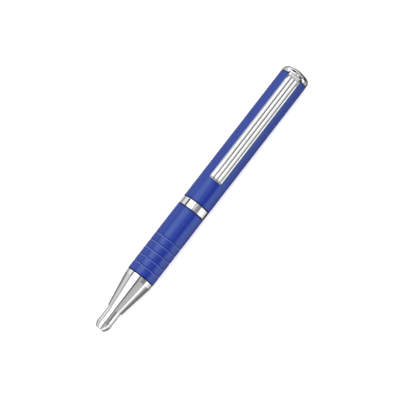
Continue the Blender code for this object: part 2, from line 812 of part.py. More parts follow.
CHROME = new_material("chrome", (0.78, 0.78, 0.79), 0.08, 1.0)
BLUE_LACQUER = new_material("blue_lacquer", (0.035, 0.06, 0.36), 0.3, 0.6)
BRASS = new_material("brass", (0.72, 0.52, 0.22), 0.3, 1.0)
STEEL = new_material("steel", (0.55, 0.55, 0.56), 0.3, 1.0)
NICKEL = new_material("nickel_silver", (0.66, 0.63, 0.56), 0.25, 1.0)
GREY_PLASTIC = new_material("grey_plastic", (0.3, 0.31, 0.32), 0.5, 0.0)
WHITE_PLASTIC = new_material("white_plastic", (0.8, 0.8, 0.77), 0.45, 0.0)
BLACK_PLASTIC = new_material("black_plastic", (0.02, 0.02, 0.02), 0.5, 0.0)

front_body = new_empty("front_body", (-OVERALL_LENGTH / 2, 0, AXIS_HEIGHT))
rear_body = new_empty("rear_slide", parent=front_body)
cam_body = new_empty("cam_spin", parent=front_body)
refill_body = new_empty("refill_slide", parent=front_body)
clip_body = new_empty("clip_flex", (CLIP_PIVOT_STATION, 0, CLIP_PIVOT_RADIUS), rear_body)
ball_body = new_empty("ball_roll", (BALL_STATION, 0, 0), refill_body)

for make in (
    nose_cone,
    grip_barrel,
    joint_bush,
    inner_tube,
    stop_ring,
    guide_sleeve,
    return_spring,
    thrust_washer,
    tube_end_bush,
):
    make(front_body)
for make in (rear_barrel, centre_ring, slide_bush, crown_insert, crown, drive_rod, rod_pin):
    make(rear_body)
for make in (cam_rotor, drive_nut):
    make(cam_body)
for make in (refill_holder, refill_tube, refill_tip):
    make(refill_body)
clip(clip_body)
tip_ball(ball_body)
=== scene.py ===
# A short telescopic ballpoint pen, closed, lying along x with its clip up and its nose at -x.
import json
import math

import bmesh
import bpy
import numpy as np
from mathutils import Matrix, Vector

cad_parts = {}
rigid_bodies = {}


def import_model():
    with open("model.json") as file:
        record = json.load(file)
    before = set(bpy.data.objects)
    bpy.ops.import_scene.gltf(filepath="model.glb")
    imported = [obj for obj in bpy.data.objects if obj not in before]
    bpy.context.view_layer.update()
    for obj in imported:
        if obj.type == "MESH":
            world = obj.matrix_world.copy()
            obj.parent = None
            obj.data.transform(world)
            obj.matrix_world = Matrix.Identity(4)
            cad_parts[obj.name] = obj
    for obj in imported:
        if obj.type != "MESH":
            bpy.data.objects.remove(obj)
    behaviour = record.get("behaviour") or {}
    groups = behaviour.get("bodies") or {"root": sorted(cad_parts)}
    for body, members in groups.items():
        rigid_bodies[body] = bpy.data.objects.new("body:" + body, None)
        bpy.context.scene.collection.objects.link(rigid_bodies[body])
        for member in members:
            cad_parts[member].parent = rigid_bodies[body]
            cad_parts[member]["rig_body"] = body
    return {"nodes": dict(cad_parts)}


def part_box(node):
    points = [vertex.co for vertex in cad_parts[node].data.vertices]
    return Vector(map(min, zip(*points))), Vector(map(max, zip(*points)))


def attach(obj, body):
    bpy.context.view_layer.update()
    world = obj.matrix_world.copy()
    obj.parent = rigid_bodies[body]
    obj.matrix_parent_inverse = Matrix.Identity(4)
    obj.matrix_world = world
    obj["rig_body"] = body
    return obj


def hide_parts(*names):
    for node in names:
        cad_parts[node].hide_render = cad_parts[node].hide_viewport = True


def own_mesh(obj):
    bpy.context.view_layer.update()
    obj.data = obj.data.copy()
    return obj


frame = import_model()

mm = 0.001
poleWidth = 0.0001 * mm   # points closer than this become one
scene = bpy.context.scene
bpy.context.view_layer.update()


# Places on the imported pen: stations in mm from the nose end, and radii in mm from the axis.
barrelLow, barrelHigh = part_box("rear_barrel")
axisHeight = (barrelLow.z + barrelHigh.z) / 2
barrelRadius = (barrelHigh.y - barrelLow.y) / 2 / mm
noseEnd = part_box("nose_cone")[0].x


def span(node):
    # First and last station of a CAD node: its x limits less the nose end, in mm.
    low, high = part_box(node)
    return (low.x - noseEnd) / mm, (high.x - noseEnd) / mm


gripFront, gripRear = span("grip_barrel")
ringFront, ringRear = span("centre_ring")
rearFront, rearRear = span("rear_barrel")
crownFront, penEnd = span("crown")


def gridFaces(rows, columns, closeRows):
    # Quads between neighbours of a grid. The last column joins the first, and so does the last
    # row where rows are closed.
    row = np.arange(rows if closeRows else rows - 1)[:, None] * columns
    column = np.arange(columns)[None, :]
    after, beside = (row + columns) % (rows * columns), (column + 1) % columns
    corners = (row + column, row + beside, after + beside, after + column)
    return np.stack(np.broadcast_arrays(*corners), -1).reshape(-1, 4)


def volume(points, faces):
    # Six times the enclosed volume: the sum over quads of their two triangles' triple products.
    a, b, c, d = (points[faces[:, i]] for i in range(4))
    return np.einsum("ij,ij->", a, np.cross(b, c)) + np.einsum("ij,ij->", a, np.cross(c, d))


def makePiece(name, grid, wornAndPaintedLight, closeRows, material, node):
    # A grid of places (rows, columns, 3) in metres becomes one closed, outward, smooth piece.
    # The edge mark is 1 on rubbed edges, which chrome makes rougher and lacquer paints paler as a painted
    # highlight, and negative down to -1 in seams and groove floors, where lacquer is painted dark as painted
    # shade. Rows shrunk to a point are merged into a pole.
    rows, columns = grid.shape[:2]
    points = grid.reshape(-1, 3)
    faces = gridFaces(rows, columns, closeRows)
    if volume(points, faces) < 0:
        faces = faces[:, ::-1]
    mesh = bpy.data.meshes.new(name)
    mesh.from_pydata(points.tolist(), [], faces.tolist())
    edge = mesh.attributes.new("edge", "FLOAT", "POINT")
    edge.data.foreach_set("value", np.broadcast_to(wornAndPaintedLight, (rows, columns)).astype(np.float32).ravel())
    shape = bmesh.new()
    shape.from_mesh(mesh)
    bmesh.ops.remove_doubles(shape, verts=shape.verts, dist=poleWidth)
    shape.to_mesh(mesh)
    shape.free()
    mesh.shade_smooth()
    mesh.materials.append(material)
    piece = bpy.data.objects.new(name, mesh)
    scene.collection.objects.link(piece)
    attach(piece, frame["nodes"][node]["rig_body"])
    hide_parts(node)
    return piece


def roundedOutline(corners, closed, arcSteps=5, hold=0.03):
    # An outline of (station, radius, rounding, edge mark, hold) rows with an arc in each corner; the edge
    # mark, positive for rubbed edges and painted highlight and negative for painted shade, may be left out
    # for 1, and hold for the common one. The arc touches both sides at
    # rounding / tan(half the corner), about a centre on the bisector, and a point a hold further
    # along each side keeps the flat shading flat. Rounding 0 keeps the point.
    corners = np.array([(*corner, *(1, hold)[len(corner) - 3:]) for corner in corners], float)
    place, rounding, wearAndPaintedLight, hold = corners[:, :2], corners[:, 2], corners[:, 3], corners[:, 4:]
    before, after = np.roll(place, 1, 0) - place, np.roll(place, -1, 0) - place
    toBefore = before / np.linalg.norm(before, axis=1, keepdims=True)
    toAfter = after / np.linalg.norm(after, axis=1, keepdims=True)
    half = np.arccos(np.clip((toBefore * toAfter).sum(1), -1, 1)) / 2
    touch = (rounding / np.tan(half))[:, None]
    bisector = toBefore + toAfter
    bisector /= np.maximum(np.linalg.norm(bisector, axis=1, keepdims=True), 1e-9)
    centre = place + bisector * (rounding / np.sin(half))[:, None]
    first, last = place + toBefore * touch - centre, place + toAfter * touch - centre
    share = np.linspace(0, 1, arcSteps)[None, :, None]
    sweep = (math.pi - 2 * half)[:, None, None]
    swept = np.maximum(np.sin(sweep), 1e-9)
    arc = centre[:, None] + (np.sin((1 - share) * sweep) * first[:, None]
                             + np.sin(share * sweep) * last[:, None]) / swept
    lead = (place + toBefore * (touch + hold))[:, None]
    tail = (place + toAfter * (touch + hold))[:, None]
    path = np.concatenate([lead, arc, tail], 1)
    keep = np.repeat(rounding[:, None] > 0, arcSteps + 2, 1)
    sharp = rounding <= 0
    path[sharp, 0] = place[sharp]
    keep[:, 0] = True
    if not closed:
        path[[0, -1], 0] = place[[0, -1]]
        keep[[0, -1], 1:] = False
    wornAndPaintedLight = np.zeros(keep.shape)
    wornAndPaintedLight[:, 1:-1] = wearAndPaintedLight[:, None]
    wornAndPaintedLight[sharp] = 0
    return path[keep], wornAndPaintedLight[keep]


def wholeTurn(steps):
    # Even angles round one turn, without the repeated last one.
    return np.linspace(0, 2 * math.pi, steps, endpoint=False)[None, :]


def turnedGrid(station, radius, angle):
    # A point at a station and radius, turned by t, stands at (station, -radius sin t, radius cos t).
    x = noseEnd + station * mm + 0 * angle
    return np.stack([x, -radius * mm * np.sin(angle), axisHeight + radius * mm * np.cos(angle)], -1)


def turnedPiece(name, corners, material, node, steps=192):
    # A closed outline with rounded corners, turned about the pen's axis.
    outline, wornAndPaintedLight = roundedOutline(corners, True)
    grid = turnedGrid(outline[:, :1], outline[:, 1:], wholeTurn(steps))
    makePiece(name, grid, wornAndPaintedLight[:, None], True, material, node)


def newMaterial(name):
    # An empty material with its node tree and shader.
    material = bpy.data.materials.new(name)
    material.use_nodes = True
    return material, material.node_tree, material.node_tree.nodes["Principled BSDF"]


def addNode(tree, kind, values=None, **settings):
    # A node with its settings, and its input sockets set or linked from values.
    node = tree.nodes.new(kind)
    for key, value in settings.items():
        setattr(node, key, value)
    for key, value in (values or {}).items():
        if isinstance(value, bpy.types.NodeSocket):
            tree.links.new(value, node.inputs[key])
        else:
            node.inputs[key].default_value = value
    return node


def objectPlace(tree, stretch=(1, 1, 1)):
    # Object coordinates, stretched along each axis.
    coordinates = addNode(tree, "ShaderNodeTexCoord")
    mapping = addNode(tree, "ShaderNodeMapping", {"Vector": coordinates.outputs["Object"], "Scale": stretch})
    return mapping.outputs["Vector"]


def noise(tree, place, scale, detail=2, roughness=0.5):
    # Cloudy values round 0.5, with this many clouds to the metre.
    values = {"Vector": place, "Scale": scale, "Detail": detail, "Roughness": roughness}
    return addNode(tree, "ShaderNodeTexNoise", values).outputs["Fac"]


def spread(tree, value, low, high, fromLow=0.3, fromHigh=0.7):
    # The value's middle range stretched to low..high.
    node = addNode(tree, "ShaderNodeMapRange", {"Value": value, "From Min": fromLow, "From Max": fromHigh,
                                                "To Min": low, "To Max": high})
    return node.outputs["Result"]


def maths(tree, operation, a, b=None):
    # One sum of two numbers or sockets.
    node = addNode(tree, "ShaderNodeMath", operation=operation)
    for socket, value in zip(node.inputs, (a, b)):
        if isinstance(value, bpy.types.NodeSocket):
            tree.links.new(value, socket)
        elif value is not None:
            socket.default_value = value
    return node.outputs["Value"]


def mixColour(tree, share, a, b):
    # a where the share is 0 and b where it is 1.
    node = addNode(tree, "ShaderNodeMix", data_type="RGBA")
    for socket, value in ((node.inputs[0], share), (node.inputs[6], a), (node.inputs[7], b)):
        if isinstance(value, bpy.types.NodeSocket):
            tree.links.new(value, socket)
        else:
            socket.default_value = value if isinstance(value, float) else (*value, 1)
    return node.outputs[2]


def bump(tree, height, strength, distance, normal=None):
    # The surface tilted as if raised by height times distance, on top of another bump or none.
    values = {"Height": height, "Strength": strength, "Distance": distance}
    if normal is not None:
        values["Normal"] = normal
    return addNode(tree, "ShaderNodeBump", values).outputs["Normal"]


def edgeShare(tree):
    # Edge mark from the piece's own attribute: 1 on rubbed edges, which lacquer paints paler as a painted
    # highlight, to -1 in seams painted with shade.
    return addNode(tree, "ShaderNodeAttribute", attribute_name="edge").outputs["Fac"]


chromeLook = dict(
    colour=(0.80, 0.80, 0.805), dulled=(0.74, 0.74, 0.75), dullShare=0.6, roughness=(0.035, 0.085),
    lineStretch=dict(along=(0.03, 1, 1), around=(1, 0.06, 0.06)), lineRoughness=0.03,
    lineScale=9000, lineBump=0.06, lineDepth=0.004 * mm, smudgeScale=260,
    rippleScale=420, rippleBump=0.05, rippleDepth=0.02 * mm)


def chrome(name, way, edgeRoughness):
    # Polished chrome plate: fine polishing lines, along x on the clip and round it elsewhere,
    # faint smudges in its roughness, and a slow ripple that bends its reflections.
    look = chromeLook
    material, tree, shader = newMaterial(name)
    lines = noise(tree, objectPlace(tree, look["lineStretch"][way]), look["lineScale"], 3, 0.6)
    smudges = noise(tree, objectPlace(tree), look["smudgeScale"], 4, 0.6)
    ripple = noise(tree, objectPlace(tree), look["rippleScale"], 1)
    low, high = look["roughness"]
    rubbed = spread(tree, lines, 0, look["lineRoughness"], 0.45, 0.7)
    shine = maths(tree, "ADD", spread(tree, smudges, low, high), rubbed)
    edges = maths(tree, "MULTIPLY", edgeShare(tree), spread(tree, lines, 0.2, 1))
    edges = maths(tree, "MULTIPLY", maths(tree, "MAXIMUM", edges, 0.0), edgeRoughness)
    tree.links.new(maths(tree, "ADD", shine, edges), shader.inputs["Roughness"])
    dull = spread(tree, smudges, 0, look["dullShare"])
    tree.links.new(mixColour(tree, dull, look["colour"], look["dulled"]), shader.inputs["Base Color"])
    shader.inputs["Metallic"].default_value = 1
    normal = bump(tree, ripple, look["rippleBump"], look["rippleDepth"])
    tree.links.new(bump(tree, lines, look["lineBump"], look["lineDepth"], normal), shader.inputs["Normal"])
    return material


# The pale colour is a painted highlight for the grooves' front lips; the dark navy one is painted shade for
# seams and groove floors.
lacquerLook = dict(
    deep=(0.001, 0.008, 0.190), bright=(0.003, 0.014, 0.240), wornAndPaintedLight=(0.42, 0.48, 0.80),
    paintedShade=(0.001, 0.002, 0.030), metallic=0.10, specular=0.9, tint=(0.70, 1.04, 1.0),
    roughness=(0.27, 0.33), flakeScale=9000, flakeShare=0.7, flakeBump=0.12, flakeDepth=0.01 * mm,
    cloudScale=320, cloudShare=0.3, patchScale=2400, peelScale=700, peelBump=0.03, peelDepth=0.05 * mm,
    coat=0.08, coatRoughness=0.2)


def lacquer(name):
    # Satin metallic lacquer: each flake has its own brightness and tilt, under a thin clear coat with a
    # little orange peel. Where the edge mark is positive, chiefly on the grooves' front lips, the colour is
    # painted paler as a painted highlight; where it is negative, in the seams at the barrel ends and in the
    # groove floors, it is painted dark navy as painted shade, with less specular there.
    look = lacquerLook
    material, tree, shader = newMaterial(name)
    place = objectPlace(tree)
    flakes = addNode(tree, "ShaderNodeTexVoronoi", {"Vector": place, "Scale": look["flakeScale"]})
    tone = addNode(tree, "ShaderNodeSeparateColor", {"Color": flakes.outputs["Color"]}).outputs[0]
    clouds = noise(tree, place, look["cloudScale"], 3)
    share = maths(tree, "ADD", maths(tree, "MULTIPLY", tone, look["flakeShare"]),
                  spread(tree, clouds, 0, look["cloudShare"], 0.2, 0.8))
    paint = mixColour(tree, share, look["deep"], look["bright"])
    edge, patches = edgeShare(tree), noise(tree, place, look["patchScale"], 4, 0.7)
    # Painted highlight: paler lacquer where the edge mark is positive, chiefly on the grooves' front lips.
    paintedHighlight = maths(tree, "MULTIPLY", edge, spread(tree, patches, 0.5, 1, 0.38, 0.66))
    paintedHighlight = maths(tree, "MAXIMUM", paintedHighlight, 0.0)
    # Painted shade: dark navy where the edge mark is negative, in seams and groove floors.
    paintedShade = maths(tree, "MULTIPLY", edge, spread(tree, patches, -1, -0.8))
    paintedShade = maths(tree, "MAXIMUM", paintedShade, 0.0)
    paint = mixColour(tree, paintedShade, mixColour(tree, paintedHighlight, paint, look["wornAndPaintedLight"]), look["paintedShade"])
    tree.links.new(paint, shader.inputs["Base Color"])
    low, high = look["roughness"]
    tree.links.new(spread(tree, clouds, low, high, 0.2, 0.8), shader.inputs["Roughness"])
    shader.inputs["Metallic"].default_value = look["metallic"]
    # The specular falls within the painted shade.
    unshaded = maths(tree, "SUBTRACT", 1.0, paintedShade)
    tree.links.new(maths(tree, "MULTIPLY", unshaded, look["specular"]), shader.inputs["Specular IOR Level"])
    shader.inputs["Specular Tint"].default_value = (*look["tint"], 1)
    shader.inputs["Coat Weight"].default_value = look["coat"]
    shader.inputs["Coat Roughness"].default_value = look["coatRoughness"]
    peel = bump(tree, noise(tree, place, look["peelScale"], 2), look["peelBump"], look["peelDepth"])
    tree.links.new(bump(tree, tone, look["flakeBump"], look["flakeDepth"], peel), shader.inputs["Normal"])
    return material


metalLook = dict(lineStretch=(1, 0.02, 0.02), lineScale=5200, lineBump=0.25, lineDepth=0.006 * mm,
                 stainScale=500, stainRoughness=0.08)


def turnedMetal(name, colour, dark, roughness):
    # Lathe-turned metal: fine grooves round the axis from noise squeezed along x.
    look = metalLook
    material, tree, shader = newMaterial(name)
    lines = noise(tree, objectPlace(tree, look["lineStretch"]), look["lineScale"], 3, 0.65)
    stain = noise(tree, objectPlace(tree), look["stainScale"], 4, 0.6)
    tree.links.new(mixColour(tree, spread(tree, stain, 0, 1), colour, dark), shader.inputs["Base Color"])
    stained = spread(tree, stain, 0, look["stainRoughness"])
    shine = maths(tree, "ADD", spread(tree, lines, *roughness), stained)
    tree.links.new(shine, shader.inputs["Roughness"])
    shader.inputs["Metallic"].default_value = 1
    tree.links.new(bump(tree, lines, look["lineBump"], look["lineDepth"]), shader.inputs["Normal"])
    return material


plasticLook = dict(grainScale=9000, grainBump=0.3, grainDepth=0.008 * mm,
                   flowStretch=(0.3, 1, 1), flowScale=700)


def mouldedPlastic(name, colour, shade, roughness):
    # Injection-moulded plastic: a fine spark texture and slow flow marks along x.
    look = plasticLook
    material, tree, shader = newMaterial(name)
    grain = noise(tree, objectPlace(tree), look["grainScale"], 3, 0.6)
    flow = noise(tree, objectPlace(tree, look["flowStretch"]), look["flowScale"], 3)
    tree.links.new(mixColour(tree, spread(tree, flow, 0, 1), colour, shade), shader.inputs["Base Color"])
    tree.links.new(spread(tree, grain, *roughness), shader.inputs["Roughness"])
    tree.links.new(bump(tree, grain, look["grainBump"], look["grainDepth"]), shader.inputs["Normal"])
    return material


turnedChrome = chrome("turnedChrome", "around", edgeRoughness=0.05)
clipChrome = chrome("clipChrome", "along", edgeRoughness=0.3)
blueLacquer = lacquer("blueLacquer")
brass = turnedMetal("brass", (0.72, 0.50, 0.20), (0.60, 0.38, 0.13), (0.20, 0.34))
steel = turnedMetal("steel", (0.56, 0.56, 0.57), (0.44, 0.44, 0.46), (0.22, 0.36))
nickelSilver = turnedMetal("nickelSilver", (0.66, 0.63, 0.55), (0.56, 0.52, 0.44), (0.16, 0.28))
carbide = turnedMetal("carbide", (0.35, 0.35, 0.36), (0.28, 0.28, 0.30), (0.18, 0.26))
greyPlastic = mouldedPlastic("greyPlastic", (0.10, 0.105, 0.11), (0.075, 0.08, 0.085), (0.42, 0.6))
whitePlastic = mouldedPlastic("whitePlastic", (0.72, 0.72, 0.68), (0.62, 0.62, 0.57), (0.38, 0.55))
blackPlastic = mouldedPlastic("blackPlastic", (0.012, 0.012, 0.013), (0.02, 0.02, 0.02), (0.4, 0.58))
print("materials made")


# Lengths and radii in mm, here and in the other pieces. Rows of corners are station, radius, rounding.
nose = dict(
    endRadius=1.5, bulbLength=2.85, bulbRadius=2.5, bulbBand=0.2, bulbPower=2.3, bulbPoints=16,
    bulbSpacing=0.8, neckRadius=2.38, neckEnd=7.7, coneFrontRadius=2.75, band=1.6, shoulder=0.135, seam=0.05,
    bore=1.275, boreLength=9.5, spigotRadius=4.05, spigotWall=0.75)


def bulbCorners():
    # The bulb's radius falls from its band to the nose end with a power of the way there.
    share = np.linspace(0, 1, nose["bulbPoints"])[1:-1] ** nose["bulbSpacing"]
    radius = nose["bulbRadius"] - (nose["bulbRadius"] - nose["endRadius"]) * share**nose["bulbPower"]
    station = (nose["bulbLength"] - nose["bulbBand"]) * (1 - share)
    return np.stack([station, radius, 0 * share], -1).tolist()


def makeNose():
    # Bulb, neck, cone and rear band outside, and a stepped bore through the spigot that screws in.
    rear, spigotEnd = gripFront - nose["seam"], span("nose_cone")[1]
    coneRear, bandRadius = gripFront - nose["band"], barrelRadius - nose["shoulder"]
    spigotBore = nose["spigotRadius"] - nose["spigotWall"]
    corners = [
        (spigotEnd, nose["spigotRadius"], 0.15), (rear, nose["spigotRadius"], 0.03),
        (rear, bandRadius, 0.07), (coneRear, bandRadius, 0.12),
        (nose["neckEnd"], nose["coneFrontRadius"], 0.07), (nose["neckEnd"], nose["neckRadius"], 0.05),
        (nose["bulbLength"], nose["neckRadius"], 0.06), (nose["bulbLength"], nose["bulbRadius"], 0.1)]
    corners += bulbCorners()
    corners += [
        (0, nose["endRadius"], 0.14), (0, nose["bore"], 0.06),
        (nose["boreLength"], nose["bore"], 0.1), (coneRear - 2 * nose["band"], spigotBore, 0.3),
        (spigotEnd, spigotBore, 0.1)]
    turnedPiece("noseCone", corners, turnedChrome, "nose_cone")


# At the barrel's end edges a seam mark of -1 paints shade into the lacquer; in each groove the marks paint
# shade on the rear lip and floor and a highlight on the front lip.
barrel = dict(gripWall=0.7, rearWall=0.55, edge=0.15, boreEdge=0.05, seam=-1.0, seamReach=0.3)
groove = dict(count=5, pitch=2.8, first=3.2, rear=0.17, floorAt=0.10, front=-0.24, depth=0.15,
              rearLip=0.03, floor=0.03, frontLip=0.08, wearAndPaintedLight=(-0.1, -0.5, 1.0))
ring = dict(play=0.08, fit=0.05, seam=0.14, edge=0.08, boreEdge=0.1, spigotEdge=0.15, spigotRoot=0.03)
innerTube = dict(bore=3.075, radius=3.525, edge=0.12, boreEdge=0.08)


def barrelEdge(station):
    # The rounded end edge of a barrel tube, with painted shade reaching in from the seam.
    return station, barrelRadius, barrel["edge"], barrel["seam"], barrel["seamReach"]


def makeGrip():
    # A tube whose outside drops into each groove: steep at its rear lip and sloped at its front one.
    rear, bore = gripRear, barrelRadius - barrel["gripWall"]
    middles = gripFront + groove["first"] + groove["pitch"] * np.arange(groove["count"])[::-1]
    offset = np.array([groove["rear"], groove["floorAt"], groove["front"]])
    station = middles[:, None] + offset
    radius = barrelRadius - np.array([0, groove["depth"], 0]) + 0 * station
    rounding = np.array([groove["rearLip"], groove["floor"], groove["frontLip"]]) + 0 * station
    # Marks for painted shade on each groove's rear lip and floor, and for a painted highlight on its front
    # lip.
    wearAndPaintedLight = np.array(groove["wearAndPaintedLight"]) + 0 * station
    cuts = np.stack([station, radius, rounding, wearAndPaintedLight], -1).reshape(-1, 4).tolist()
    corners = [(rear, bore, barrel["boreEdge"]), barrelEdge(rear), *cuts, barrelEdge(gripFront),
               (gripFront, bore, barrel["boreEdge"])]
    turnedPiece("gripBarrel", corners, blueLacquer, "grip_barrel")


def makeRearBarrel():
    # A plain tube.
    bore, edge = barrelRadius - barrel["rearWall"], barrel["boreEdge"]
    corners = [(rearRear, bore, edge), barrelEdge(rearRear), barrelEdge(rearFront), (rearFront, bore, edge)]
    turnedPiece("rearBarrel", corners, blueLacquer, "rear_barrel")


def makeCentreRing():
    # A band as wide as the barrel, with a spigot behind it inside the rear barrel.
    bore, spigot = innerTube["radius"] + ring["play"], barrelRadius - barrel["rearWall"] - ring["fit"]
    shoulder, face = rearFront - ring["seam"], ringFront + ring["seam"] / 2
    corners = [
        (ringRear, bore, ring["boreEdge"]), (ringRear, spigot, ring["spigotEdge"]),
        (shoulder, spigot, ring["spigotRoot"]), (shoulder, barrelRadius, ring["edge"]),
        (face, barrelRadius, ring["edge"]), (face, bore, ring["boreEdge"])]
    turnedPiece("centreRing", corners, turnedChrome, "centre_ring")


crown = dict(side=0.9, corner=1.55, domePoints=24, cornerPoints=14, faceEdge=0.1, spigotRadius=1.65,
             spigotDepth=1.35, spigotEdge=0.05, notchDepth=0.42, notchHalf=2.62, notchFloor=3.15,
             notchStep=0.02, notchSide=0.12, sidePoints=9, notchPoints=40, restPoints=150)


def crownOutline(face):
    # From the pole over the dome, where the end falls with the square of the radius, round the
    # corner and down the side to the face at this station, in to the notch's floor, and on.
    shoulder = crownFront + crown["side"]
    domeEdge, domeRadius = shoulder + crown["corner"], barrelRadius - crown["corner"]
    share = np.linspace(0, 1, crown["domePoints"])[:-1]
    dome = np.stack([penEnd - (penEnd - domeEdge) * share**2, domeRadius * share], -1)
    turn = np.linspace(0, math.pi / 2, crown["cornerPoints"])
    corner = np.stack([shoulder + crown["corner"] * np.cos(turn),
                       domeRadius + crown["corner"] * np.sin(turn)], -1)
    bottom, step, edge = crownFront + crown["spigotDepth"], crown["notchStep"], crown["spigotEdge"]
    rest, wornAndPaintedLight = roundedOutline([
        (shoulder, barrelRadius, 0), (face, barrelRadius, crown["faceEdge"]),
        (face, crown["notchFloor"], edge), (crownFront, crown["notchFloor"] - step, step),
        (crownFront, crown["spigotRadius"], edge), (bottom, crown["spigotRadius"], edge),
        (bottom, 0, 0)], False)
    outline = np.concatenate([dome, corner, rest[1:]])
    return outline, np.concatenate([np.zeros(len(dome) + len(corner)), wornAndPaintedLight[1:]])


def makeCrown():
    # The plain outline and the notched one, mixed by a smooth window of angle that opens over the
    # clip: the share across a side of the notch, squared, times three less twice the share.
    plain, wornAndPaintedLight = crownOutline(crownFront)
    notched, _ = crownOutline(crownFront + crown["notchDepth"])
    edge = math.asin(crown["notchHalf"] / barrelRadius)
    wall = crown["notchSide"] / barrelRadius
    steps = np.linspace(-wall / 2, wall / 2, crown["sidePoints"])
    angle = np.concatenate([
        np.linspace(-edge + wall, edge - wall, crown["notchPoints"]), edge + steps,
        np.linspace(edge + wall, 2 * math.pi - edge - wall, crown["restPoints"]), 2 * math.pi - edge + steps])
    away = np.minimum(angle % (2 * math.pi), 2 * math.pi - angle % (2 * math.pi))
    opening = np.clip((edge + wall / 2 - away) / wall, 0, 1)
    opening = opening * opening * (3 - 2 * opening)
    outline = plain[:, None] + (notched - plain)[:, None] * opening[None, :, None]
    grid = turnedGrid(outline[..., 0], outline[..., 1], angle)
    makePiece("crownCap", grid, wornAndPaintedLight[:, None], False, turnedChrome, "crown")


clip = dict(
    width=4.56, sideways=-0.1, sheet=0.45, gap=0.95, lip=0.7, lipInset=0.35, tabAt=0.16, tabRise=0.05,
    rootThin=0.3, slope=1.31, tabBend=0.3, rootBend=0.5, lipBend=0.3, edge=0.08, edgeWear=0.3,
    cornerRadius=0.5, ridges=3, pitch=1.28, ridgeWidth=1.22, ridgeHeight=0.17, ridgeEnd=0.5,
    bevelWide=0.75, bevelDeep=0.17, bevelReach=2.4, bevelAtTab=0.2, crowning=0.008,
    fineLead=0.4, fineLength=1.6, fineRows=33, coarseFrom=1.4, coarseTo=2, coarseStep=0.5,
    acrossPoints=121, turnPoints=6, endReach=0.1)


def clipPath():
    # The middle line of the sheet seen from the side: tab, slope, arm and turned-down end. Points
    # stand close together along the bends and where the ridges end, and coarser between.
    low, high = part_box("clip")
    tab, tabFoot = crownFront + clip["tabAt"], (low.z - axisHeight) / mm
    end = (low.x - noseEnd) / mm + clip["sheet"] / 2
    underside = barrelRadius + clip["gap"]
    middle, root = underside + clip["sheet"] / 2, tab - clip["slope"]
    corners = [(tab, tabFoot, 0),
               (tab, barrelRadius + clip["tabRise"] + clip["sheet"] / 2, clip["tabBend"]),
               (root, middle, clip["rootBend"]), (end, middle, clip["lipBend"]),
               (end, underside - clip["lip"], 0)]
    path, _ = roundedOutline(corners, False, arcSteps=12, hold=0.02)
    length = np.concatenate([[0], np.cumsum(np.linalg.norm(np.diff(path, axis=0), axis=1))])
    fine = np.linspace(0, clip["fineLength"], clip["fineRows"])
    armStart = length[np.argmin(np.abs(path[:, 0] - root))]
    armStop = length[np.argmin(np.abs(path[:, 0] - end - clip["lipInset"]))]
    coarse = np.arange(armStart + clip["coarseFrom"], armStop - clip["coarseTo"], clip["coarseStep"])
    extra = np.concatenate([armStart - clip["fineLead"] + fine, coarse, armStop - fine])
    along = np.unique(np.round(np.concatenate([length, extra]), 4))
    places = np.stack([np.interp(along, length, path[:, 0]), np.interp(along, length, path[:, 1])], -1)
    return places, end, root, tab


def clipSection():
    # Places across the strip, shared by its top and bottom, and how far each has dropped: the
    # edges turn over with a small quarter circle.
    edge = clip["edge"]
    inside = clip["width"] / 2 - edge
    flat = np.linspace(-1, 1, clip["acrossPoints"]) * inside
    turn = np.linspace(0, math.pi / 2, clip["turnPoints"])[1:]
    across = np.concatenate([-inside - edge * np.sin(turn[::-1]), flat, inside + edge * np.sin(turn)])
    drop = np.concatenate([edge * (1 - np.cos(turn[::-1])), 0 * flat, edge * (1 - np.cos(turn))])
    return across, drop


def ridgeHeight(across, toFreeEnd, toRoot):
    # A shallow circular arc across each ridge, its ends rounded in plan: the arc is read at the
    # distance from the ridge's spine, which stops half a width before each end.
    half, height = clip["ridgeWidth"] / 2, clip["ridgeHeight"]
    arcRadius = (half**2 + height**2) / (2 * height)
    offsets = (np.arange(clip["ridges"]) - (clip["ridges"] - 1) / 2) * clip["pitch"]
    sideways = np.abs(across[..., None] - offsets).min(-1)
    past = np.maximum(np.maximum(half - toFreeEnd, half - 2 * toRoot), 0)
    away = np.minimum(np.hypot(sideways, past), half)
    return np.sqrt(arcRadius**2 - away**2) - (arcRadius - height)


def bevelDrop(across, station, root, tab):
    # The top's side edges slope down by a fixed rate over a width that is greatest at the root.
    stations, shares = [root - clip["bevelReach"], root, tab], [0, 1, clip["bevelAtTab"]]
    wide = clip["bevelWide"] * np.interp(station, stations, shares)
    inside = clip["width"] / 2 - wide
    return clip["bevelDeep"] / clip["bevelWide"] * np.clip(np.abs(across) - inside, 0, wide)


